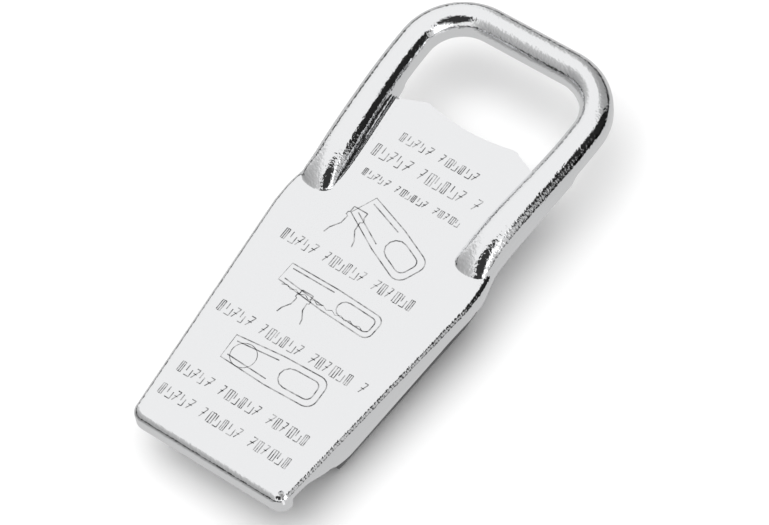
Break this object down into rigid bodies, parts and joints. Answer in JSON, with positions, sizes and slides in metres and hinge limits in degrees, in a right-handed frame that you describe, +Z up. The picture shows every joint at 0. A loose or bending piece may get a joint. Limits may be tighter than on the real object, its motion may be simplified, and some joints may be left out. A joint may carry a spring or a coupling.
{
  "type": "bottle opener and resealer",
  "caption": "Pressed steel crown-cap opener with a loop handle, whose under-plate channel and rubber pad slide onto a bottle's neck ring to reseal it.",
  "frame": {"origin": "middle of the overall box, at the level of the rails' underside that it stands on", "axes": "+X across the tool, +Y from the front lip to the handle loop, +Z up out of the plate's face"},
  "size_m": [0.0448, 0.105, 0.0172],
  "materials": {
    "body_shell": "polished chrome plate on pressed sheet steel",
    "clamp_channel": "satin black on pressed sheet steel",
    "sealing_pad": "matt moulded rubber"
  },
  "bodies": {
    "root": {"body_shell": "body_shell", "clamp_channel": "clamp_channel", "sealing_pad": "sealing_pad"}
  },
  "joints": []
}
